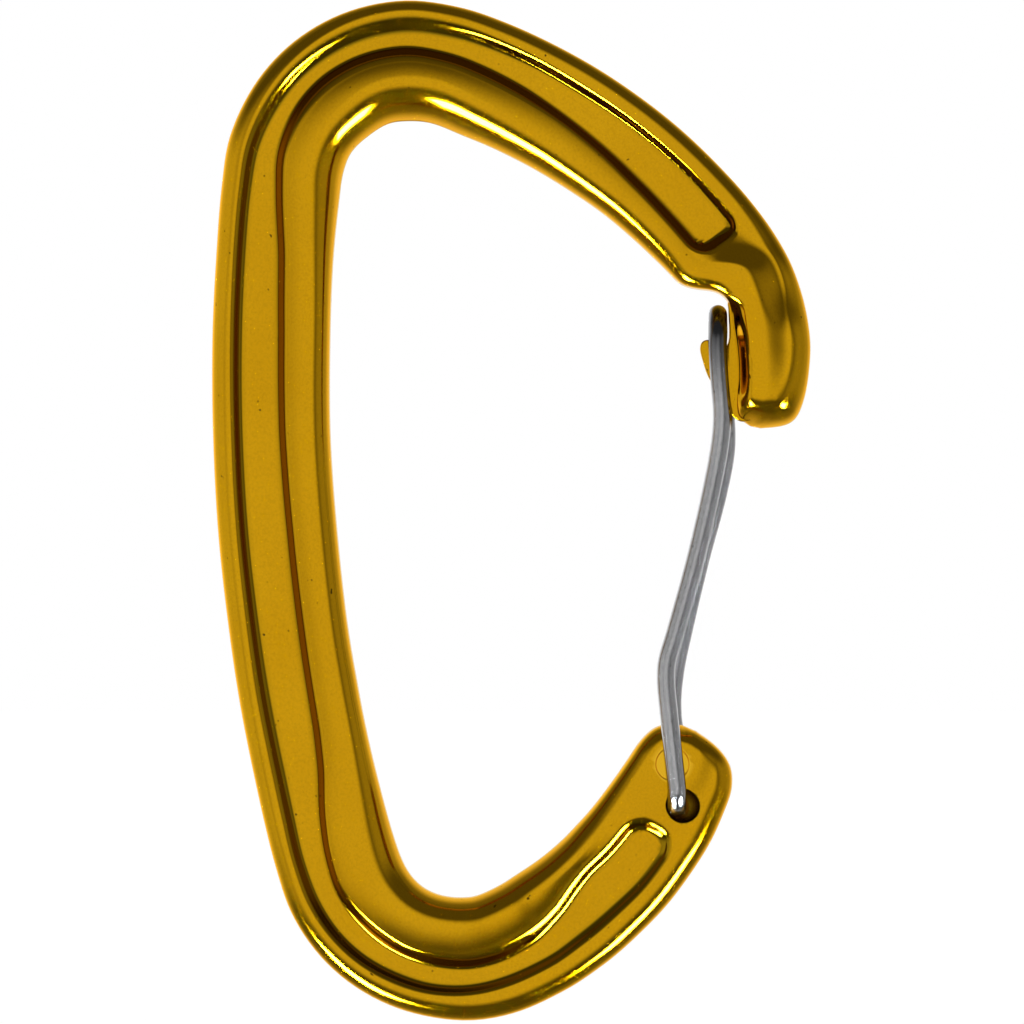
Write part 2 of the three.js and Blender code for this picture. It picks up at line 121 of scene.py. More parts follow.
# %% Rows across the bar: outer x, z, inner x, z, then how far in each of the pocket's walls runs
NOSE = [
    (53.75, 41.95, 52.8, 41.75),
    (54.9, 42.0, 51.95, 41.5),
    (56.25, 41.8, 51.5, 40.95),
    (57.25, 41.1, 51.4, 40.2),
    (57.8, 39.95, 51.4, 39.2),
    (58.25, 38.4, 51.5, 37.4),
    (58.5, 36.8, 51.45, 35.4),
    (58.65, 35.2, 51.25, 33.3),
    (58.7, 33.8, 50.95, 31.5),
    (58.55, 32.1, 50.8, 30.2),
    (58.3, 30.6, 50.45, 29.4),
    (57.95, 29.1, 49.75, 28.8),
    (57.45, 27.5, 48.8, 28.5),
    (56.75, 25.7, 47.6, 28.4),
    (55.85, 24.0, 46.55, 28.15),
]
BAR = [
    (54.65, 22.1, 45.8, 27.8, 2.3, 3.2, 6.6, 7.6),
    (53.15, 20.1, 44.8, 26.8, 2.3, 3.15, 6.7, 7.8),
    (51.65, 18.3, 43.7, 25.7, 2.3, 3.1, 6.7, 7.8),
    (48.5, 15.0, 41.25, 23.4, 2.2, 3.0, 6.65, 7.7),
    (45.45, 12.2, 38.4, 21.0, 2.2, 3.05, 6.45, 7.5),
    (42.0, 9.5, 35.45, 18.95, 2.15, 3.05, 6.1, 7.05),
    (37.75, 6.65, 31.45, 16.5, 2.05, 3.2, 5.65, 6.65),
    (33.1, 4.1, 27.4, 14.45, 1.8, 3.1, 5.05, 6.45),
    (28.65, 2.1, 24.65, 13.3, 1.6, 3.15, 4.8, 6.3),
    (24.45, 0.7, 21.5, 12.05, 1.35, 3.3, 4.65, 6.15),
    (18.85, 0.0, 19.25, 11.85, 1.2, 3.35, 4.5, 6.1),
    (13.0, 1.2, 17.35, 12.1, 1.35, 3.4, 4.45, 6.05),
    (8.0, 4.05, 15.5, 13.2, 1.5, 3.45, 4.4, 6.05),
    (4.3, 8.05, 13.7, 14.9, 1.6, 3.4, 4.5, 6.05),
    (1.75, 13.3, 12.9, 16.9, 1.65, 3.25, 4.8, 6.2),
    (0.95, 18.2, 12.5, 19.7, 1.65, 3.05, 5.2, 6.5),
    (0.45, 24.45, 11.95, 25.2, 1.6, 3.0, 5.95, 7.2),
    (0.05, 32.6, 11.65, 32.7, 1.7, 3.05, 6.35, 7.5),
    (0.1, 42.6, 11.65, 42.3, 1.75, 3.05, 6.4, 7.5),
    (0.65, 52.75, 12.3, 51.8, 1.75, 3.1, 6.65, 7.75),
    (1.8, 62.8, 13.35, 61.25, 1.7, 3.15, 6.6, 7.8),
    (2.7, 68.75, 14.3, 66.9, 1.65, 3.2, 6.6, 7.75),
    (3.5, 73.0, 14.95, 70.35, 1.7, 3.2, 6.5, 7.7),
    (4.35, 77.05, 15.75, 74.0, 1.7, 3.2, 6.15, 7.3),
    (5.15, 80.65, 16.75, 78.0, 1.7, 3.15, 5.4, 6.35),
    (6.2, 84.8, 17.7, 81.45, 1.65, 3.0, 4.95, 5.8),
    (7.75, 89.4, 18.7, 84.3, 1.75, 3.2, 4.85, 5.75),
    (10.1, 93.1, 19.55, 85.75, 1.85, 3.2, 5.0, 6.1),
    (13.2, 96.1, 20.6, 86.8, 1.9, 3.3, 4.95, 6.35),
    (17.05, 98.35, 21.9, 87.5, 1.95, 3.5, 4.95, 6.25),
    (21.1, 99.6, 23.4, 87.85, 2.05, 3.45, 5.0, 6.55),
    (25.7, 100.0, 24.65, 87.9, 2.4, 3.75, 5.1, 6.75),
    (30.2, 99.1, 25.9, 87.75, 2.6, 3.95, 5.2, 7.05),
    (34.8, 96.95, 28.5, 86.55, 2.6, 3.9, 5.45, 7.3),
    (36.05, 96.2, 29.65, 85.8, 2.65, 3.95, 5.8, 7.5),
    (38.45, 94.5, 31.4, 84.65, 2.7, 4.1, 6.35, 8.0),
    (39.6, 93.6, 32.5, 83.85, 2.7, 4.1, 6.85, 8.6),
    (41.6, 91.8, 34.3, 82.3, 2.7, 4.05, 7.45, 8.9),
    (44.4, 88.95, 35.6, 80.95, 2.6, 3.85, 7.2, 8.7),
    (46.6, 86.1, 37.1, 79.3, 2.6, 3.85, 7.1, 8.45),
    (48.95, 82.4, 39.2, 76.55, 2.6, 3.85, 6.9, 8.2),
]
LUG = [
    (50.5, 78.85, 41.0, 73.95),
    (50.95, 77.55, 41.75, 72.8),
    (51.05, 76.2, 42.55, 71.9),
    (50.9, 75.0, 43.25, 71.3),
    (50.3, 73.9, 44.0, 70.95),
    (49.35, 72.8, 44.8, 70.85),
    (48.4, 72.05, 45.6, 70.9),
    (47.25, 71.5, 46.2, 71.05),
]
ROWS = NOSE + BAR + LUG
# Past the pocket's two ends the same four places go on as shares of the bar's width. In the nose
# they part the thick inner side from the thinner outer one, and move outwards towards the pocket.
LUG_SHARES = (0.2, 0.26, 0.34, 0.42)
NOSE_SHARES = {
    0: (0.5, 0.54, 0.58, 0.62),
    6: (0.3, 0.38, 0.48, 0.62),
    10: (0.27, 0.36, 0.47, 0.62),
    12: (0.17, 0.26, 0.36, 0.52),
    14: (0.13, 0.2, 0.3, 0.42),
}
TIP_ROWS = 7  # how many rows at the nose's tip have a rounding as wide as it likes
CAP_ROWS = 4  # and at the lug's cap
SEAT = (19.4, 11.85)  # the frame's origin on this sheet: the deepest point of the top basket
LAST = len(ROWS) - 1
TOP_ROW = len(NOSE) + 10  # where the bar crosses its highest point
HINGE_ROW = len(NOSE) + len(BAR)
print(len(NOSE), "rows in the nose,", len(BAR), "in the bar and", len(LUG), "in the lug")


def place(x, z):
    """From the sheet to the frame, still in millimetres."""
    return x - SEAT[0], SEAT[1] - z


# %% Curves through the rows
def curve_through(points):
    """A centripetal Catmull-Rom curve, as a function of the row number."""
    points = np.array(points, float)
    padded = np.vstack([2 * points[0] - points[1], points, 2 * points[-1] - points[-2]])

    def at(t):
        t = np.asarray(t, float)
        i = np.clip(t.astype(int), 0, len(points) - 2)
        f = (t - i)[..., None]
        p = [padded[i + k] for k in range(4)]
        d = [np.linalg.norm(p[k + 1] - p[k], axis=-1, keepdims=True) ** 0.5 for k in range(3)]
        leave = (p[1] - p[0]) / d[0] - (p[2] - p[0]) / (d[0] + d[1]) + (p[2] - p[1]) / d[1]
        arrive = (p[2] - p[1]) / d[1] - (p[3] - p[1]) / (d[1] + d[2]) + (p[3] - p[2]) / d[2]
        return (
            (2 * f**3 - 3 * f**2 + 1) * p[1]
            + (f**3 - 2 * f**2 + f) * leave * d[1]
            + (3 * f**2 - 2 * f**3) * p[2]
            + (f**3 - f**2) * arrive * d[1]
        )

    return at


outer_at = curve_through([place(*row[0:2]) for row in ROWS])
inner_at = curve_through([place(*row[2:4]) for row in ROWS])


def smoothstep(v, low, high):
    """0 below low, 1 above high, and a smooth rise between."""
    t = np.clip((v - low) / (high - low), 0, 1)
    return t * t * (3 - 2 * t)


def along(pairs, t):
    """A value that swells and shrinks along the bar: (row, value) pairs joined by smooth steps."""
    value = np.full(np.shape(t), float(pairs[0][1]))
    for (t0, v0), (t1, v1) in zip(pairs, pairs[1:]):
        value = value + (v1 - v0) * smoothstep(t, t0, t1)
    return value


# %% [markdown]
# ## Evenly spaced sections
#
# The rows lie close together at tight bends and far apart on the spine. For an even mesh the line
# is measured once in fine steps, and every edge is smoothed a little over its length, as a die
# that was polished by hand is.

# %% Measure the bar along its middle, and smooth what runs along it
STEP = 0.1  # millimetres between samples
SMOOTHING = 0.5  # reach of the smoothing along the edges, in millimetres
GUIDE_SMOOTHING = 0.8  # and along the pocket's walls
FINE_STEPS = 6000
fine = np.linspace(0, LAST, FINE_STEPS + 1)
middle = (outer_at(fine) + inner_at(fine)) / 2
length_at = np.concatenate([[0], np.cumsum(np.linalg.norm(np.diff(middle, axis=0), axis=1))])
samples = np.arange(0, length_at[-1], STEP)
rows_at = np.interp(samples, length_at, fine)


def smoothed(values, width=SMOOTHING):
    """Values along the bar after a Gaussian blur whose reach shrinks to nothing at the two ends."""
    reach = int(4 * width / STEP)
    weights = np.exp(-0.5 * (np.arange(-reach, reach + 1) * STEP / width) ** 2)
    weights /= weights.sum()
    values = np.asarray(values, float).reshape(len(samples), -1)
    first, last = values[:1], values[-1:]
    longer = np.vstack([2 * first - values[reach:0:-1], values, 2 * last - values[-2 : -reach - 2 : -1]])
    return np.column_stack([np.convolve(column, weights, "valid") for column in longer.T])


outer_line = smoothed(outer_at(rows_at))
inner_line = smoothed(inner_at(rows_at))
widths = np.linalg.norm(outer_line - inner_line, axis=1)


def guide_rows():
    """The four edges of the pocket's walls at each row, or where they would run past its ends."""
    for i, row in enumerate(ROWS):
        width = math.dist(row[0:2], row[2:4])
        nose = [np.interp(i, list(NOSE_SHARES), column) for column in zip(*NOSE_SHARES.values())]
        past_pocket = nose if i < len(NOSE) else LUG_SHARES
        yield row[4:] if len(row) > 4 else [share * width for share in past_pocket]


guide_table = np.array(list(guide_rows()))
guide_lines = np.column_stack([np.interp(rows_at, range(LAST + 1), column) for column in guide_table.T])
guide_lines = smoothed(guide_lines, GUIDE_SMOOTHING)
print("the bar is", round(float(samples[-1]), 1), "mm long along its middle")

# %% [markdown]
# ## Heights
#
# Seen from the front, a forging is a height over every point of its outline, because the die has
# to come off it. So the front half is a sheet: the rim, the wall down into the pocket, the thin
# web, the wall up and the thick flange inside, which is what a sling lies on. The edges are
# rounded over a width of their own. Here each rule is one value that varies along the bar.

# %% Thickness and rounding along the bar, in millimetres
WEB_HALF = 2.3
RIM_HALF = 3.5
NOSE_HALF = 4.4
LUG_HALF = 3.2
BASKET_HALF = 4.6
SPINE_HALF = 3.9
flange_half = along(
    [
        (len(NOSE) - 1, NOSE_HALF),
        (TOP_ROW, BASKET_HALF),
        (TOP_ROW + 7, SPINE_HALF),
        (TOP_ROW + 12, SPINE_HALF),
        (TOP_ROW + 20, BASKET_HALF),
        (HINGE_ROW - 6, RIM_HALF + 0.15),
        (HINGE_ROW, LUG_HALF),
    ],
    rows_at,
)
rim_half = along(
    [
        (4, 4.3),
        (8, 4.0),
        (len(NOSE) - 3, 3.3),
        (len(NOSE) - 1, 3.3),
        (len(NOSE) + 2, RIM_HALF),
        (HINGE_ROW - 6, RIM_HALF),
        (HINGE_ROW - 1, LUG_HALF - 0.2),
        (LAST - 5, LUG_HALF - 0.2),
        (LAST - 2, LUG_HALF),
    ],
    rows_at,
)
inner_round = along(
    [
        (2, 2.4),
        (6, 0.8),
        (len(NOSE) - 6, 0.7),
        (len(NOSE) - 1, 1.2),
        (len(NOSE) + 4, 2.2),
        (TOP_ROW, 4.1),
        (TOP_ROW + 4, 3.2),
        (TOP_ROW + 7, 1.7),
        (TOP_ROW + 12, 1.7),
        (TOP_ROW + 16, 2.75),
        (TOP_ROW + 20, 2.6),
        (HINGE_ROW - 5, 2.4),
        (HINGE_ROW, 1.6),
    ],
    rows_at,
)
outer_round = along(
    [
        (2, 3.6),
        (7, 2.0),
        (len(NOSE) - 4, 2.0),
        (len(NOSE) + 2, 1.25),
        (TOP_ROW - 2, 1.2),
        (TOP_ROW, 1.1),
        (TOP_ROW + 3, 1.6),
        (TOP_ROW + 7, 1.5),
        (TOP_ROW + 14, 1.3),
        (TOP_ROW + 20, 1.7),
        (HINGE_ROW - 1, 1.9),
        (HINGE_ROW + 3, 1.6),
    ],
    rows_at,
)
flange_crown = along(
    [
        (len(NOSE) - 2, 0.0),
        (len(NOSE) + 2, 0.1),
        (TOP_ROW, 0.42),
        (TOP_ROW + 7, 0.24),
        (TOP_ROW + 14, 0.24),
        (TOP_ROW + 20, 0.42),
        (HINGE_ROW - 6, 0.42),
        (HINGE_ROW - 1, 0.0),
    ],
    rows_at,
)

# %% Keep each rounding on its own rim or flange: first for the grid's lines, then for the metal
MOST_ROUNDING = 0.85  # the share of a rim or flange that its rounding may take
LEAST_RIM = 0.1  # millimetres
outer_room = np.maximum(guide_lines[:, 0], LEAST_RIM)
inner_room = MOST_ROUNDING * (widths - guide_lines[:, 3])
outer_lines = smoothed(np.minimum(outer_round, MOST_ROUNDING * outer_room))[:, 0]
inner_lines = smoothed(np.minimum(inner_round, inner_room))[:, 0]
clear_of_ends = (rows_at > TIP_ROWS) & (rows_at < LAST - CAP_ROWS)
outer_most = np.minimum(outer_round, outer_room)
outer_round = smoothed(np.where(clear_of_ends, outer_most, outer_round))[:, 0]
inner_round = smoothed(np.where(clear_of_ends, inner_lines, inner_round))[:, 0]
print("flange from", round(2 * flange_half.min(), 1), "to", round(2 * flange_half.max(), 1), "mm thick")

# %% The pocket: how deep it is at a distance inside a rectangle with rounded corners
POCKET_FROM = float(np.interp(len(NOSE) + 0.35, fine, length_at))
POCKET_TO = float(np.interp(HINGE_ROW - 1.25, fine, length_at))
END_WALL = 1.4  # width of the wall at the pocket's two ends
CORNER_NEAR_NOSE = (1.9, 2.6)  # radii of its corners: outer, inner
CORNER_NEAR_HINGE = (2.7, 2.7)
CREST_SHARES = (0.5, 0.66)  # the share of each wall's width that is its rounded crest: outer, inner
print("pocket", round(POCKET_TO - POCKET_FROM, 1), "mm long")


def pocket_depth(s, across, guides):
    """From 0 on the flange to 1 on the floor, and how far each point lies down the wall's width."""
    crest_out, foot_out, foot_in, crest_in = guides
    from_start, from_end = s - POCKET_FROM, POCKET_TO - s
    ends = np.minimum(from_start, from_end)
    outer_side = across < (foot_out + foot_in) / 2
    near_nose = from_start < from_end
    radius = np.where(
        near_nose,
        np.where(outer_side, *CORNER_NEAR_NOSE),
        np.where(outer_side, *CORNER_NEAR_HINGE),
    )
    wall = np.where(outer_side, foot_out - crest_out, crest_in - foot_in)
    side = np.where(outer_side, across - crest_out, crest_in - across) / wall * END_WALL
    dx, dz = np.maximum(radius - side, 0), np.maximum(radius - ends, 0)
    inside = np.where((dx > 0) & (dz > 0), radius - np.hypot(dx, dz), np.minimum(side, ends))
    down = inside / END_WALL
    t = np.clip(down, 0, 1)
    crest_share = np.where(outer_side, *CREST_SHARES)
    crest, foot = t**2 / crest_share, 1 - (1 - t) ** 2 / (1 - crest_share)
    return np.where(t < crest_share, crest, foot), down


# %% The rounding of an edge, and the distance to it
STEEPEST = 0.97  # how far along its quarter circle's radius a rounding goes, then the side starts
DRAFT = 0.09  # width of the nearly upright side below each rounding, in millimetres
MOST_DROP = 0.96  # the share of the half thickness that a rounding may take, so that a side is left


def shoulder(distance, rounding, face):
    """The share of its height that an edge keeps: an upright side, then a round as high as wide."""
    u = 1 - np.clip((distance - DRAFT) / rounding, 0, 1)
    drop = np.minimum(rounding, MOST_DROP * face) / face
    top = 1 - drop * (1 - np.sqrt(1 - (STEEPEST * u) ** 2)) / (1 - math.sqrt(1 - STEEPEST**2))
    return top * np.clip(distance / DRAFT, 0, 1)


def distance_to(points, line):
    """The distance from each point to a line of short straight pieces."""
    start, piece = line[:-1], np.diff(line, axis=0)
    offset = points[:, None, :] - start[None]
    share = np.clip((offset * piece).sum(-1) / (piece**2).sum(-1), 0, 1)
    return np.linalg.norm(offset - share[..., None] * piece, axis=-1).min(1)


# %% [markdown]
# ## The forged surface
#
# Blender could loft this bar from curves, but then the pocket's rounded ends and the changing
# rims would have to be cut in afterwards, and each cut leaves a dent in the reflections of a
# polished metal. So one grid is laid over the whole front, with its lines bunched where the
# surface bends, and every point of it is lifted to its height. A Mirror modifier gives the back.

# %% Where the grid's lines run
def spaced(stops):
    """Places along the bar, from (end, spacing) pairs: each stretch has its own even spacing."""
    made, start = [0.0], 0.0
    for end, spacing in stops:
        count = max(1, round((end - start) / spacing))
        made += [start + (end - start) * (k + 1) / count for k in range(count)]
        start = end
    return np.array(made)


BAR_LENGTH = float(samples[-1])
along_bar = spaced(
    [
        (DRAFT, DRAFT),
        (0.7, 0.08),
        (2.5, 0.19),
        (POCKET_FROM - 0.6, 0.35),
        (POCKET_FROM + 3.2, 0.16),
        (POCKET_TO - 3.8, 0.62),
        (POCKET_TO + 0.6, 0.16),
        (BAR_LENGTH - 2.5, 0.24),
        (BAR_LENGTH - 0.7, 0.19),
        (BAR_LENGTH - DRAFT, 0.08),
        (BAR_LENGTH, DRAFT),
    ]
)


def shares(count, bunched=False):
    """Even steps from 0 to 1, or steps that start small."""
    steps = np.linspace(0, 1, count + 1)
    return steps**2 if bunched else steps


LINES_BETWEEN = (3, 10, 8, 10, 7)  # on the rim, the outer wall, the floor, the inner wall, the flange
OUTER_LINES = 10  # on the outer edge's rounding
INNER_LINES = 12  # on the inner edge's
MOST_SIDE = 0.1  # the share of a narrow rim that its upright side may take


def crossings(width, rounds, guides):
    """Distances from the outer edge at which the grid's lines cross one section."""
    side = min(DRAFT, MOST_SIDE * guides[0])
    outer_rounding, inner_rounding = rounds
    stops = [side + outer_rounding, *guides, width - side - inner_rounding]
    made = [0, *(side + outer_rounding * shares(OUTER_LINES, bunched=True))]
    for start, end, count in zip(stops, stops[1:], LINES_BETWEEN):
        made += list(start + (end - start) * shares(count)[1:])
    last = width - side - inner_rounding * shares(INNER_LINES, bunched=True)[::-1][1:]
    return [*made, *last, width]


# %% Every section's own sizes, and its points in the plan
def at_samples(values):
    """Values along the bar, read off where the grid's sections are."""
    return np.column_stack([np.interp(along_bar, samples, column) for column in np.atleast_2d(values.T)])


outer_points, inner_points = at_samples(outer_line), at_samples(inner_line)
row_widths = np.linalg.norm(outer_points - inner_points, axis=1)
row_guides = at_samples(guide_lines)
row_rounds = np.column_stack([at_samples(outer_round), at_samples(inner_round)])
row_lines = np.column_stack([at_samples(outer_lines), at_samples(inner_lines)])
row_rims, row_flanges, row_crowns = (at_samples(v)[:, 0] for v in (rim_half, flange_half, flange_crown))
across = np.array([crossings(*row) for row in zip(row_widths, row_lines, row_guides)])
shares_across = (across / row_widths[:, None])[..., None]
plan = outer_points[:, None] + shares_across * (inner_points - outer_points)[:, None]
print("lines across each section:", across.shape[1])

# %% The slots: one in each face of the nose, which the gate's loop closes into
SLOT_FLOOR = 2.3  # half the thickness that is left between the two slots
SLOT_FOOT = 0.1  # distance from the inner edge to the foot of the slot's wall
SLOT_WALL = 1.25  # width of that wall, which is filleted at both ends
slots = along([(2.8, 0), (5.2, 1), (8.6, 1), (10.6, 0)], rows_at)
row_slots = at_samples(slots)[:, 0]

# %% The height over every point, and where its colour gets painted shade
NEAR = 9.0  # how far along the bar an edge still matters, in millimetres
SHADE_FROM = (0.1, 0.35)  # a wall's shade fades in and out at these shares of its width
SHADE_TO = (0.9, 1.05)


def heights(i):
    """Half the thickness of the bar along row i of the grid, and 1 where a pocket's wall gets painted
    shade.
    """
    points, s = plan[i], along_bar[i]
    near = np.abs(samples - s) < NEAR
    end = 0 if s < BAR_LENGTH / 2 else -1
    end_line = np.stack([outer_line[end], inner_line[end]])
    to_outer = np.minimum(distance_to(points, outer_line[near]), distance_to(points, end_line))
    to_inner = distance_to(points, inner_line[near])
    guides = row_guides[i]
    face = row_rims[i] + (row_flanges[i] - row_rims[i]) * smoothstep(across[i], guides[0], guides[3])
    centre, reach = (row_widths[i] + guides[3]) / 2, (row_widths[i] - guides[3]) / 2
    face = face - row_crowns[i] * np.clip((across[i] - centre) / reach, -1, 1) ** 2
    depth, down = pocket_depth(s, across[i], guides)
    outer_edge = shoulder(to_outer, row_rounds[i, 0], face)
    inner_edge = shoulder(to_inner, row_rounds[i, 1], face)
    slot_rise = smoothstep(to_inner, SLOT_FOOT, SLOT_FOOT + SLOT_WALL)
    slot = SLOT_FLOOR / face + (1 - SLOT_FLOOR / face) * slot_rise
    inner_edge = inner_edge + row_slots[i] * (np.minimum(inner_edge, slot) - inner_edge)
    # painted shade: the colour on the pocket's walls is darkened where the wall stands in its own shade
    wall = smoothstep(down, *SHADE_FROM) * (1 - smoothstep(down, *SHADE_TO))
    return (face + (WEB_HALF - face) * depth) * outer_edge * inner_edge, wall


# %% Lift the grid, and check that none of its quads folds over
half, painted_shade_grid = np.array([heights(i) for i in range(len(along_bar))]).transpose(1, 0, 2)
half[:, [0, -1]] = 0
half[[0, -1], :] = 0
ahead, sideways_step = np.diff(plan, axis=0)[:, :-1], np.diff(plan, axis=1)[:-1]
turn = ahead[..., 0] * sideways_step[..., 1] - ahead[..., 1] * sideways_step[..., 0]
print("quads that fold over:", int(min((turn > 0).sum(), (turn < 0).sum())))
print("grid of", half.shape, "points, thickest", round(float(half.max() * 2), 2), "mm")

# %% Make the body from a grid primitive and a mirror
bpy.ops.object.select_all(action="DESELECT")
bpy.ops.mesh.primitive_grid_add(x_subdivisions=half.shape[1] - 1, y_subdivisions=half.shape[0] - 1)
body = bpy.context.object
body.name = "forged_shell"
front = np.stack([plan[..., 0], -half, plan[..., 1]], axis=-1) * MM
assert len(body.data.vertices) == half.size
body.data.vertices.foreach_set("co", front.astype(np.float32).ravel())
body.data.update()
# the painted shade is kept on the mesh, and the gold darkens its colour by it
painted_shade = body.data.attributes.new("painted_shade", "FLOAT", "POINT")
painted_shade.data.foreach_set("value", painted_shade_grid.astype(np.float32).ravel())
modify(
    body,
    "MIRROR",
    use_axis=(False, True, False),
    use_mirror_merge=True,
    merge_threshold=1e-7,
)
recalculate_normals(body)
print(faces_of(body))


# %% [markdown]
# ## The hook and the hinge
#
# Between the slots of the nose stands a thin plate with a hook, which the gate's loop closes over,
# so that the body can't open under load. The lug has two blind holes, one on each face and one
# above the other, for the two ends of the wire. Both are hard-edged shapes, so they are modelled
# as plain solids and joined or cut with Boolean modifiers. Where a cut passes very close to a
# point of the fine grid it can leave an opening too small to see, which is merged shut afterwards.

# %% The hook's plate: a circle primitive laid on its outline, extruded and bevelled
TONGUE_HALF = 1.6
WIRE_RADIUS = 0.9
SEAT_GAP = 0.12
LOOP_TOP = (49.6, 30.75)  # where the wire crosses the middle of the thickness
STOP_WALL = LOOP_TOP[0] + WIRE_RADIUS + SEAT_GAP
TONGUE = [
    (54.5, 29.5),
    (51.6, 29.9),
    (50.6, 29.6),
    (STOP_WALL, 30.4),
    (STOP_WALL, 33.5),
    (50.2, 34.1),
    (49.5, 33.85),
    (48.6, 33.3),
    (48.05, 33.5),
    (47.85, 34.1),
    (48.15, 35.5),
    (48.7, 37.0),
    (50.0, 38.9),
    (51.0, 40.7),
    (51.9, 41.3),
    (53.5, 41.0),
]
TONGUE_STEPS = 90
tongue_at = curve_through([place(*p) for p in TONGUE])
tongue_line = tongue_at(np.linspace(0, len(TONGUE) - 1, TONGUE_STEPS + 1))

bpy.ops.object.select_all(action="DESELECT")
bpy.ops.mesh.primitive_circle_add(vertices=len(tongue_line), fill_type="NGON")
tongue = bpy.context.object
tongue.name = "hook_plate"
flat = np.column_stack([tongue_line[:, 0], np.full(len(tongue_line), -TONGUE_HALF), tongue_line[:, 1]])
tongue.data.vertices.foreach_set("co", (flat * MM).astype(np.float32).ravel())
bpy.ops.object.mode_set(mode="EDIT")
bpy.ops.mesh.select_all(action="SELECT")
bpy.ops.mesh.extrude_region_move(TRANSFORM_OT_translate={"value": (0, 2 * TONGUE_HALF * MM, 0)})
bpy.ops.object.mode_set(mode="OBJECT")
recalculate_normals(tongue)
modify(tongue, "BEVEL", width=0.3 * MM, segments=4, limit_method="ANGLE", angle_limit=math.radians(50))
print(faces_of(tongue))

# %% The hinge: where the two wire ends turn, and the holes that leave them room
GATE_TRAVEL = math.radians(frame["joints"][0]["range_deg"][1])
PIVOT = Vector(place(45.7, 76.85))
FRONT_END = Vector((-0.15, -2.2))  # the front wire end, from the pivot; the back one is opposite
HOLE_CLEARANCE = 0.15
HOLE_DEPTH = 2.4


def turned(v, angle):
    cos, sin = math.cos(angle), math.sin(angle)
    return Vector((v.x * cos - v.y * sin, v.x * sin + v.y * cos))


open_end = turned(FRONT_END, GATE_TRAVEL)
hole_offset = (FRONT_END + open_end) / 2
HOLE_RADIUS = WIRE_RADIUS + (open_end - FRONT_END).length / 2 + HOLE_CLEARANCE
holes = {side: PIVOT - side * hole_offset for side in (-1, 1)}
print("hinge holes of", round(2 * HOLE_RADIUS, 2), "mm")


def extrude_end(obj, direction, distance):
    """Extrudes the end that looks this way along Y, and leaves its new face selected."""
    bpy.ops.object.mode_set(mode="EDIT")
    bpy.ops.mesh.select_all(action="DESELECT")
    bpy.ops.object.mode_set(mode="OBJECT")
    for face in obj.data.polygons:
        face.select = face.normal.y * direction > 0.9
    bpy.ops.object.mode_set(mode="EDIT")
    move = (0, direction * distance * MM, 0)
    bpy.ops.mesh.extrude_region_move(TRANSFORM_OT_translate={"value": move})


def drill(side):
    """A cutter for one hole: a pointed cylinder whose mouth is spread, which leaves a small chamfer."""
    chamfer, proud, point = 0.12, 0.5, 1.0
    x, z = holes[side]
    bpy.ops.object.select_all(action="DESELECT")
    bpy.ops.mesh.primitive_cylinder_add(
        vertices=64,
        radius=HOLE_RADIUS * MM,
        depth=(HOLE_DEPTH - chamfer) * MM,
        location=(x * MM, side * (LUG_HALF - (HOLE_DEPTH + chamfer) / 2) * MM, z * MM),
        rotation=(math.pi / 2, 0, 0),
    )
    cutter = bpy.context.object
    bpy.ops.object.transform_apply(location=True, rotation=True, scale=True)
    extrude_end(cutter, side, chamfer + proud)
    wider = (HOLE_RADIUS + chamfer + proud) / HOLE_RADIUS
    bpy.ops.transform.resize(value=(wider, 1, wider), center_override=(x * MM, 0, z * MM))
    extrude_end(cutter, -side, point)
    bpy.ops.mesh.merge(type="CENTER")
    bpy.ops.object.mode_set(mode="OBJECT")
    recalculate_normals(cutter)
    return cutter


def boolean(obj, other, operation):
    modify(obj, "BOOLEAN", object=other, operation=operation, solver="EXACT")
    bpy.data.objects.remove(other)


# %% The round mark, then all the joining and cutting
MARK_RADIUS = 1.67
MARK_DEPTH = 0.1
MARK_OFFSET = Vector((-0.6, 2.05))  # the front one's centre, from the pivot


def coin_mark(side):
    """A cutter for the shallow round mark that the forging tool leaves on each face of the lug."""
    x, z = PIVOT - side * MARK_OFFSET
    bpy.ops.object.select_all(action="DESELECT")
    bpy.ops.mesh.primitive_cone_add(
        vertices=64,
        radius1=(MARK_RADIUS - MARK_DEPTH) * MM,
        radius2=(MARK_RADIUS + MARK_DEPTH) * MM,
        depth=2 * MARK_DEPTH * MM,
        location=(x * MM, side * LUG_HALF * MM, z * MM),
        rotation=(-side * math.pi / 2, 0, 0),
    )
    cutter = bpy.context.object
    bpy.ops.object.transform_apply(location=True, rotation=True, scale=True)
    return cutter


boolean(body, tongue, "UNION")
for side in (-1, 1):
    boolean(body, coin_mark(side), "DIFFERENCE")
    boolean(body, drill(side), "DIFFERENCE")
print(faces_of(body))

# %% Note where the colour differs: painted shade inside the holes, brighter on the struck marks
HOLE_SKIN = 0.01  # a point this far outside a hole's radius still lies on its wall, in millimetres
HOLE_MOUTH = 0.1  # how deep the shade starts
painted_shade = body.data.attributes["painted_shade"].data
coined = body.data.attributes.new("coined", "FLOAT", "POINT").data
for vertex in body.data.vertices:
    x, y, z = vertex.co / MM
    side = -1 if y < 0 else 1
    from_mark = Vector((x, z)) - (PIVOT - side * MARK_OFFSET)
    coined[vertex.index].value = from_mark.length < MARK_RADIUS + MARK_DEPTH
    in_hole = (Vector((x, z)) - holes[side]).length < HOLE_RADIUS + HOLE_SKIN
    # painted shade: the colour deep inside each hole is darkened where the hole stands in shade
    if in_hole and abs(y) < LUG_HALF - HOLE_MOUTH:
        painted_shade[vertex.index].value = 1

# %% Close the smallest openings that the cuts left, and shade the body smooth
OPENING = 0.02
select_only(body)
bpy.ops.object.mode_set(mode="EDIT")
bpy.ops.mesh.select_all(action="DESELECT")
bpy.ops.mesh.select_non_manifold()
bpy.ops.mesh.remove_doubles(threshold=OPENING * MM)
bpy.ops.object.mode_set(mode="OBJECT")
bpy.ops.object.shade_smooth_by_angle(angle=math.radians(38))
print(faces_of(body))

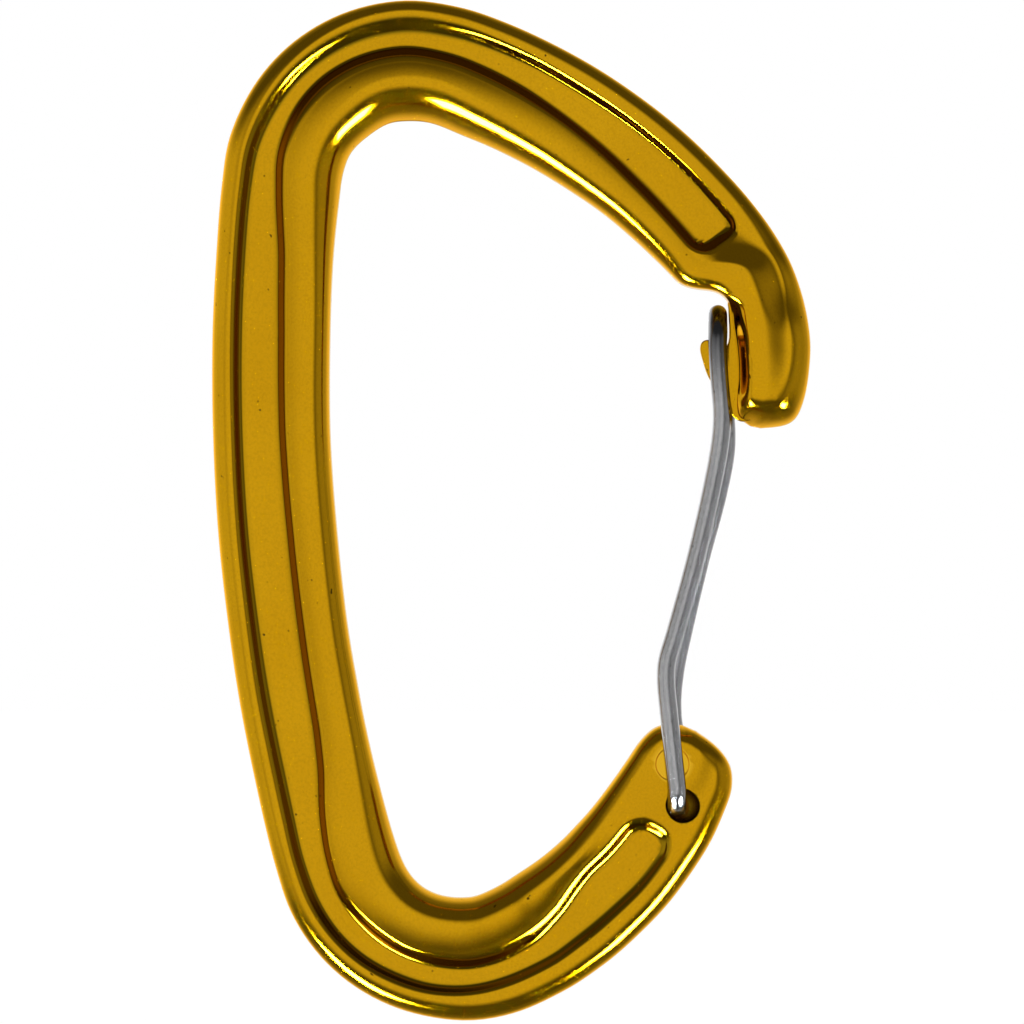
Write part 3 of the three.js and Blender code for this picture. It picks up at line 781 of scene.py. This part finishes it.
# %% [markdown]
# ## The gate
#
# The gate is one length of drawn wire. It comes out of the front hole, runs up, bends over the
# hook and comes down behind. On the real one the two ends sit at different heights, so opening it
# bends the wire, and that is the only spring. Drawn wire keeps its section round in every bend,
# so the mesh is a grid laid in rings square to the wire's line, which are closed into a tube.

# %% The wire's line: x and z on the sheet, then the distance from the middle of the thickness
LEG_GAP = 0.3
TONGUE_GAP = 0.5
BEND_RADIUS = 1.7
END_DEPTH = 2.3
LEG_Y = LUG_HALF + LEG_GAP + WIRE_RADIUS
LOOP_Y = TONGUE_HALF + TONGUE_GAP + WIRE_RADIUS
FRONT_LEG = [
    (49.55, 33.9, LOOP_Y),
    (49.7, 37.0, LOOP_Y + 0.05),
    (49.95, 40.6, LOOP_Y + 0.15),
    (49.75, 43.4, LOOP_Y + 0.25),
    (48.9, 48.0, LOOP_Y + 0.45),
    (47.3, 54.9, LOOP_Y + 0.8),
    (45.4, 61.8, LOOP_Y + 1.15),
    (44.55, 64.8, LEG_Y - 0.1),
    (44.45, 66.6, LEG_Y),
    (44.75, 70.0, LEG_Y),
    (45.25, 74.5, LEG_Y),
]
BACK_LEG = [
    (49.6, 33.9, LOOP_Y),
    (49.9, 37.0, LOOP_Y + 0.05),
    (50.4, 40.6, LOOP_Y + 0.15),
    (50.45, 44.0, LOOP_Y + 0.25),
    (49.65, 48.4, LOOP_Y + 0.45),
    (47.95, 54.8, LOOP_Y + 0.8),
    (46.2, 62.2, LOOP_Y + 1.15),
    (45.5, 65.6, LEG_Y - 0.1),
    (45.2, 68.6, LEG_Y),
    (45.35, 71.2, LEG_Y),
]
BEND_STEPS = 5
LOOP_STEPS = 8


def leg(points, side):
    return [(place(x, z)[0], side * y, place(x, z)[1]) for x, z, y in points]


def wire_end(side):
    """The bend from a leg into its hole, then the straight end."""
    x, z = PIVOT - side * FRONT_END
    inside, tip = LEG_Y - BEND_RADIUS, LUG_HALF - END_DEPTH
    angles = np.linspace(0, math.pi / 2, BEND_STEPS + 1)
    out = [inside + BEND_RADIUS * math.cos(a) for a in angles]
    up = [BEND_RADIUS * (1 - math.sin(a)) for a in angles]
    bend = [(x, side * y, z + rise) for y, rise in zip(out, up)]
    return bend + [(x, side * y, z) for y in ((inside + tip) / 2, tip)]


def loop():
    """Half an ellipse over the hook, from the front leg to the back one."""
    (x, top), spring = place(*LOOP_TOP), place(*FRONT_LEG[0][:2])[1]
    angles = np.linspace(0, math.pi, LOOP_STEPS + 1)[1:-1]
    return [(x, -LOOP_Y * math.cos(a), spring + math.sin(a) * (top - spring)) for a in angles]


wire_points = [*wire_end(-1)[::-1], *leg(FRONT_LEG, -1)[::-1], *loop(), *leg(BACK_LEG, 1), *wire_end(1)]
WIRE_SAMPLES = 460
wire_line = curve_through(wire_points)(np.linspace(0, len(wire_points) - 1, WIRE_SAMPLES))
wire_lengths = np.concatenate([[0], np.cumsum(np.linalg.norm(np.diff(wire_line, axis=0), axis=1))])
print("the gate takes", round(float(wire_lengths[-1]), 1), "mm of wire")

# %% Rings along that line, laid out from a grid primitive
WIRE_SIDES = 32
ASLANT = (0.3, 0.2, 1.0)  # a direction that the wire's first piece doesn't take


def frames_along(line):
    """Two directions across the line at every point, carried along so that they never twist."""
    tangents = np.gradient(line, axis=0)
    tangents /= np.linalg.norm(tangents, axis=1, keepdims=True)
    first = np.cross(tangents[0], ASLANT)
    sideways = [first / np.linalg.norm(first)]
    for tangent in tangents[1:]:
        carried = sideways[-1] - tangent * np.dot(sideways[-1], tangent)
        sideways.append(carried / np.linalg.norm(carried))
    sideways = np.array(sideways)
    return sideways, np.cross(tangents, sideways)


across_wire, up_wire = frames_along(wire_line)
turns = np.linspace(0, 2 * math.pi, WIRE_SIDES, endpoint=False)[None, :, None]
outwards = np.cos(turns) * across_wire[:, None] + np.sin(turns) * up_wire[:, None]
rings = wire_line[:, None] + WIRE_RADIUS * outwards
bpy.ops.object.select_all(action="DESELECT")
bpy.ops.mesh.primitive_grid_add(x_subdivisions=WIRE_SIDES, y_subdivisions=WIRE_SAMPLES - 1)
gate = bpy.context.object
gate.name = "gate_wire"
closed = np.concatenate([rings, rings[:, :1]], axis=1)
gate.data.vertices.foreach_set("co", (closed * MM).astype(np.float32).ravel())

# %% Note each point's place round the wire and along it, and where the loop is painted dark
LENGTH_SCALE = 0.1  # a tenth of the real length draws a pattern out tenfold along the wire
PAINTED_DARK_TO = (3.0, 12.0)  # the painted dark reflection fades out between these distances from the loop's middle
lengthwise = gate.data.attributes.new("lengthwise", "FLOAT_VECTOR", "POINT")
round_wire = np.linspace(0, 2 * math.pi, WIRE_SIDES + 1)
drawn = np.stack(
    [
        np.broadcast_to(np.cos(round_wire), closed.shape[:2]),
        np.broadcast_to(np.sin(round_wire), closed.shape[:2]),
        np.broadcast_to(wire_lengths[:, None] * LENGTH_SCALE, closed.shape[:2]),
    ],
    axis=-1,
)
lengthwise.data.foreach_set("vector", drawn.astype(np.float32).ravel())
loop_middle = wire_lengths[np.argmax(wire_line[:, 2])]
near_loop = 1 - smoothstep(np.abs(wire_lengths - loop_middle), *PAINTED_DARK_TO)
# painted dark reflection: 1 over the loop's top, fading to 0 along the legs
painted_dark_reflection = gate.data.attributes.new("painted_dark_reflection", "FLOAT", "POINT")
painted_dark_reflection.data.foreach_set("value", np.repeat(near_loop, closed.shape[1]).astype(np.float32))

# %% Close the tube along its seam and at its two ends
SEAM = 1e-7  # metres
bpy.ops.object.mode_set(mode="EDIT")
bpy.ops.mesh.select_all(action="SELECT")
bpy.ops.mesh.remove_doubles(threshold=SEAM)
bpy.ops.mesh.select_all(action="DESELECT")
bpy.ops.mesh.select_non_manifold(use_boundary=True, use_wire=False, use_multi_face=False)
bpy.ops.mesh.edge_face_add()
bpy.ops.object.mode_set(mode="OBJECT")
recalculate_normals(gate)
modify(gate, "BEVEL", width=0.15 * MM, segments=3, limit_method="ANGLE", angle_limit=math.radians(60))
select_only(gate)
bpy.ops.object.shade_smooth_by_angle(angle=math.radians(40))
print(faces_of(gate))

# %% [markdown]
# ## Anodised gold
#
# Anodising grows a clear, dyed layer on the metal. Under a lamp the metal gives back gold, while
# the layer's own surface gives back white, so the finish is a metal with a coat. The forging was
# tumbled before it was dyed, which leaves a fine grain, a soft unevenness and a few tiny pits.

# %% Helpers for materials
def new_material(name):
    """A material with its nodes, its links and its shader."""
    material = bpy.data.materials.new(name)
    material.use_nodes = True
    nodes, links = material.node_tree.nodes, material.node_tree.links
    return material, nodes, links, nodes["Principled BSDF"]


def noise(nodes, links, coordinates, scale, detail=2.0, roughness=0.5):
    """A cloudy value between 0 and 1; on Object coordinates the scale counts clouds to the metre."""
    node = nodes.new("ShaderNodeTexNoise")
    node.inputs["Scale"].default_value = scale
    node.inputs["Detail"].default_value = detail
    node.inputs["Roughness"].default_value = roughness
    links.new(coordinates, node.inputs["Vector"])
    return node.outputs["Fac"]


def remap(nodes, links, value, low, high, to_low, to_high, smooth=False):
    """Stretches the range from low to high over the one from to_low to to_high, and clamps it."""
    node = nodes.new("ShaderNodeMapRange")
    node.interpolation_type = "SMOOTHSTEP" if smooth else "LINEAR"
    names = ("From Min", "From Max", "To Min", "To Max")
    for name, number in zip(names, (low, high, to_low, to_high)):
        node.inputs[name].default_value = number
    links.new(value, node.inputs["Value"])
    return node.outputs["Result"]


def mix_colors(nodes, links, factor, first, second):
    node = nodes.new("ShaderNodeMix")
    node.data_type = "RGBA"
    links.new(factor, node.inputs["Factor"])
    for socket, color in ((node.inputs[6], first), (node.inputs[7], second)):
        if isinstance(color, tuple):
            socket.default_value = (*color, 1)
        else:
            links.new(color, socket)
    return node.outputs[2]


def attribute(nodes, name):
    """A node that reads what the mesh holds under this name at each of its points."""
    node = nodes.new("ShaderNodeAttribute")
    node.attribute_name = name
    return node


def calculated(nodes, links, operation, first, second=None):
    """One step of arithmetic on a socket and, where it takes two, a socket or a number."""
    node = nodes.new("ShaderNodeMath")
    node.operation = operation
    links.new(first, node.inputs[0])
    if isinstance(second, (int, float)):
        node.inputs[1].default_value = second
    elif second is not None:
        links.new(second, node.inputs[1])
    return node.outputs[0]


def bumped(nodes, links, height, distance, strength=1.0, after=None):
    """Normals for a surface that stands this many metres proud where the height is 1."""
    node = nodes.new("ShaderNodeBump")
    node.inputs["Distance"].default_value = distance
    node.inputs["Strength"].default_value = strength
    links.new(height, node.inputs["Height"])
    if after is not None:
        links.new(after, node.inputs["Normal"])
    return node.outputs["Normal"]


# %% The gold
GOLD_DEEP = (0.76, 0.39, 0.001)
GOLD_PALE = (0.80, 0.42, 0.002)
GOLD_IN_GRAIN = (0.56, 0.28, 0.001)
GOLD_IN_PITS = (0.16, 0.08, 0.0)
# painted shade, for the pocket's walls and the insides of the holes
GOLD_PAINTED_SHADE = (0.37, 0.215, 0.0005)
GOLD_STRUCK = (0.98, 0.56, 0.02)


def gold_anodising():
    material, nodes, links, shader = new_material("gold_anodising")
    place_of = nodes.new("ShaderNodeTexCoord").outputs["Object"]
    shader.inputs["Metallic"].default_value = 1
    shader.inputs["Coat Weight"].default_value = 0.12
    shader.inputs["Coat Roughness"].default_value = 0.08
    shader.inputs["Specular Tint"].default_value = (1.0, 0.72, 0.02, 1)

    cloud = noise(nodes, links, place_of, 90, detail=3)
    tone = remap(nodes, links, cloud, 0.35, 0.65, 0, 1)
    gold = mix_colors(nodes, links, tone, GOLD_DEEP, GOLD_PALE)
    grain = noise(nodes, links, place_of, 5000, detail=3, roughness=0.6)
    grained = remap(nodes, links, grain, 0.42, 0.7, 0, 0.35)
    gold = mix_colors(nodes, links, grained, gold, GOLD_IN_GRAIN)
    speck = noise(nodes, links, place_of, 1500, detail=1)
    pit = remap(nodes, links, speck, 0.775, 0.80, 0, 1, smooth=True)
    gold = mix_colors(nodes, links, pit, gold, GOLD_IN_PITS)
    # the pocket's walls and the holes get painted shade; the struck marks are brighter
    for attribute_name, color in (("painted_shade", GOLD_PAINTED_SHADE), ("coined", GOLD_STRUCK)):
        gold = mix_colors(nodes, links, attribute(nodes, attribute_name).outputs["Fac"], gold, color)
    links.new(gold, shader.inputs["Base Color"])

    uneven = noise(nodes, links, place_of, 1300, detail=2)
    links.new(remap(nodes, links, grain, 0.3, 0.7, 0.1, 0.14), shader.inputs["Roughness"])
    normal = bumped(nodes, links, uneven, 0.006 * MM, 0.5)
    normal = bumped(nodes, links, grain, 0.002 * MM, 0.5, after=normal)
    normal = bumped(nodes, links, remap(nodes, links, pit, 0, 1, 1, 0), 0.02 * MM, 0.4, after=normal)
    links.new(normal, shader.inputs["Normal"])
    return material


body.data.materials.clear()
body.data.materials.append(gold_anodising())

# %% [markdown]
# ## Stainless wire
#
# Wire is pulled through a die, which leaves fine lines along it. Over the loop its colour is
# painted dark, a painted reflection of the dark that the loop faces. The pattern follows the wire
# through an attribute that holds each point's place around the wire and along it, so the lines
# never cross it at a slant.

# %% The wire
STEEL_IN_LINES = (0.4, 0.4, 0.41)
STEEL = (0.6, 0.6, 0.6)
STEEL_IN_PITS = (0.12, 0.12, 0.12)
# painted dark reflection over the loop's top, which faces the dark above it
STEEL_PAINTED_DARK = (0.13, 0.13, 0.135)


def stainless_wire():
    material, nodes, links, shader = new_material("stainless_wire")
    place_of = nodes.new("ShaderNodeTexCoord").outputs["Object"]
    shader.inputs["Metallic"].default_value = 1

    lengthwise = attribute(nodes, "lengthwise").outputs["Vector"]
    lines = noise(nodes, links, lengthwise, 16, detail=4, roughness=0.7)
    drawn = remap(nodes, links, lines, 0.3, 0.7, 0, 1)
    blotch = noise(nodes, links, place_of, 500, detail=3)
    speck = noise(nodes, links, place_of, 2600, detail=2)
    steel = mix_colors(nodes, links, drawn, STEEL_IN_LINES, STEEL)
    pit = remap(nodes, links, speck, 0.68, 0.74, 0, 0.7, smooth=True)
    steel = mix_colors(nodes, links, pit, steel, STEEL_IN_PITS)
    painted_dark_reflection = attribute(nodes, "painted_dark_reflection").outputs["Fac"]
    # painted dark reflection: the loop's top is darkened in colour
    steel = mix_colors(nodes, links, painted_dark_reflection, steel, STEEL_PAINTED_DARK)
    links.new(steel, shader.inputs["Base Color"])
    links.new(remap(nodes, links, blotch, 0.3, 0.7, 0.14, 0.22), shader.inputs["Roughness"])
    normal = bumped(nodes, links, lines, 0.01 * MM, 0.6)
    normal = bumped(nodes, links, speck, 0.008 * MM, 0.5, after=normal)
    links.new(normal, shader.inputs["Normal"])
    return material


gate.data.materials.clear()
gate.data.materials.append(stainless_wire())

# %% [markdown]
# ## What each piece stands for
#
# The fine meshes replace the two faceted solids, and each rides on the body that its solid
# belongs to.

# %% Ride and replace
for piece, node, rides_on, material_slot in (
    (body, "forged_body", "body", "gold_anodised_alloy"),
    (gate, "wire_gate", "gate", "stainless_wire"),
):
    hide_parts(node)
    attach(piece, rides_on)

# %% [markdown]
# ## The studio
#
# Polished metal shows the room more than itself. The room is plain white, with a pale floor, and
# a dark tent that only reflections see gives the metal its contrast: grey in front, nearly black
# around, lighter to the sides and white behind. Two small bright panels low in front, which only
# reflections see too, put the highlights on all that faces down and to the left or right. Light
# that has already met the metal once counts for less, so that the far side of a wall or of the
# opening doesn't draw a bright line in the near one.

# %% Room and floor
FLOOR_DROP = 0.06  # metres below the object
low, high = cad_box
centre = (Vector(low) + Vector(high)) / 2

world = bpy.data.worlds.new("white_room")
bpy.context.scene.world = world
world.use_nodes = True
world.node_tree.nodes["Background"].inputs["Color"].default_value = (1, 1, 1, 1)
world.node_tree.nodes["Background"].inputs["Strength"].default_value = 1.0

bpy.ops.object.select_all(action="DESELECT")
bpy.ops.mesh.primitive_plane_add(size=12, location=(0, 0, low[2] - FLOOR_DROP))
floor = bpy.context.object
floor.name = "floor"
floor_material, _, _, floor_shader = new_material("pale_floor")
floor_shader.inputs["Base Color"].default_value = (0.95, 0.95, 0.95, 1)
floor_shader.inputs["Roughness"].default_value = 0.9
floor_shader.inputs["Specular IOR Level"].default_value = 0.0
floor_shader.inputs["Emission Color"].default_value = (1, 1, 1, 1)
floor_shader.inputs["Emission Strength"].default_value = 0.06
floor.data.materials.append(floor_material)
floor.visible_glossy = False
floor.visible_shadow = False

# %% What the tent and the lamps share
def glow(name, color=(1, 1, 1)):
    """A material that only gives off light, with its nodes, links and strength socket."""
    material = bpy.data.materials.new(name)
    material.use_nodes = True
    nodes, links = material.node_tree.nodes, material.node_tree.links
    nodes.clear()
    emission = nodes.new("ShaderNodeEmission")
    emission.inputs["Color"].default_value = (*color, 1)
    links.new(emission.outputs[0], nodes.new("ShaderNodeOutputMaterial").inputs["Surface"])
    return material, nodes, links, emission.inputs["Strength"]


def first_bounce_only(nodes, links, strength, later):
    """The strength in the metal's first reflection, and this share of it in the later ones."""
    depth = nodes.new("ShaderNodeLightPath").outputs["Ray Depth"]
    share = remap(nodes, links, depth, 1, 2, 1, later)
    return calculated(nodes, links, "MULTIPLY", share, strength)


def hide_except_in_reflections(obj):
    obj.visible_camera = False
    obj.visible_diffuse = False
    obj.visible_shadow = False
    obj.visible_transmission = False


# %% The tent that only reflections see
TENT_RADIUS = 0.6
TENT_AFTER_FIRST = 0.8
# From straight in front, at 0, to straight behind, at 1, the tent is this grey.
GREYS = [(0.0, 0.72), (0.055, 0.71), (0.21, 0.1), (0.5, 0.1), (0.64, 0.2), (0.85, 1.0)]


def tent_material():
    material, nodes, links, glow_strength = glow("tent")
    direction = nodes.new("ShaderNodeVectorMath")
    direction.operation = "NORMALIZE"
    links.new(nodes.new("ShaderNodeTexCoord").outputs["Object"], direction.inputs[0])
    parts = nodes.new("ShaderNodeSeparateXYZ")
    links.new(direction.outputs["Vector"], parts.inputs[0])

    ramp = nodes.new("ShaderNodeValToRGB")
    ramp.color_ramp.interpolation = "EASE"
    elements = ramp.color_ramp.elements
    while len(elements) < len(GREYS):
        elements.new(0.5)
    for element, (position, grey) in zip(elements, GREYS):
        element.position = position
        element.color = (grey, grey, grey, 1)
    forwards = calculated(nodes, links, "MULTIPLY", parts.outputs["Y"], -1)
    from_front = calculated(nodes, links, "ARCCOSINE", forwards)
    links.new(remap(nodes, links, from_front, 0, math.pi, 0, 1), ramp.inputs["Fac"])

    height = calculated(nodes, links, "ABSOLUTE", parts.outputs["Z"])
    near_level = remap(nodes, links, height, 0.2, 0.55, 1, 0, smooth=True)
    left_side = remap(nodes, links, parts.outputs["X"], -0.75, -0.15, 0.55, 0, smooth=True)
    right_side = remap(nodes, links, parts.outputs["X"], 0.35, 0.9, 0, 0.25, smooth=True)
    both_sides = calculated(nodes, links, "ADD", left_side, right_side)
    both_sides = calculated(nodes, links, "MULTIPLY", both_sides, near_level)
    total = calculated(nodes, links, "ADD", both_sides, ramp.outputs["Color"])
    links.new(first_bounce_only(nodes, links, total, TENT_AFTER_FIRST), glow_strength)
    return material


bpy.ops.object.select_all(action="DESELECT")
bpy.ops.mesh.primitive_uv_sphere_add(segments=48, ring_count=24, radius=TENT_RADIUS, location=centre)
tent = bpy.context.object
tent.name = "tent"
tent.data.materials.append(tent_material())
hide_except_in_reflections(tent)

# %% The lamps: two small bright panels, low in front
LAMP_DISTANCE = 0.42
LAMP_COLOR = (0.88, 0.94, 1.0)
LAMP_STRENGTH = 120.0
LAMP_AFTER_FIRST = 0.02


def lamp(name, direction, size):
    """A panel of this width and height in metres, in this direction, turned to face the object."""
    place_at = centre + Vector(direction).normalized() * LAMP_DISTANCE
    turned_to = (centre - place_at).to_track_quat("Z", "Y").to_euler()
    bpy.ops.object.select_all(action="DESELECT")
    bpy.ops.mesh.primitive_plane_add(size=1, location=place_at, rotation=turned_to)
    panel = bpy.context.object
    panel.name = name
    panel.scale = (*size, 1)
    material, nodes, links, glow_strength = glow(name, LAMP_COLOR)
    links.new(first_bounce_only(nodes, links, LAMP_STRENGTH, LAMP_AFTER_FIRST), glow_strength)
    material.cycles.emission_sampling = "NONE"  # no ray is aimed at it
    panel.data.materials.append(material)
    hide_except_in_reflections(panel)


lamp("lamp_right", (0.66, -0.34, -0.66), (0.14, 0.15))
lamp("lamp_left", (-0.5, -0.34, -0.8), (0.15, 0.19))

# %% [markdown]
# ## The camera
#
# A long lens far away, level with the middle of the object, shows it almost without perspective.

# %% Camera
VIEW_WIDTH = 100.35 * MM
CAMERA_DISTANCE = 1.3
VIEW_CENTRE = Vector((10.02 * MM, 0, -38.3 * MM))
camera_place = VIEW_CENTRE - Vector((0, CAMERA_DISTANCE, 0))
bpy.ops.object.camera_add(location=camera_place, rotation=(math.pi / 2, 0, 0))
camera = bpy.context.object
camera.data.sensor_width = 36
camera.data.lens = camera.data.sensor_width * CAMERA_DISTANCE / VIEW_WIDTH
camera.data.clip_end = 100
bpy.context.scene.camera = camera
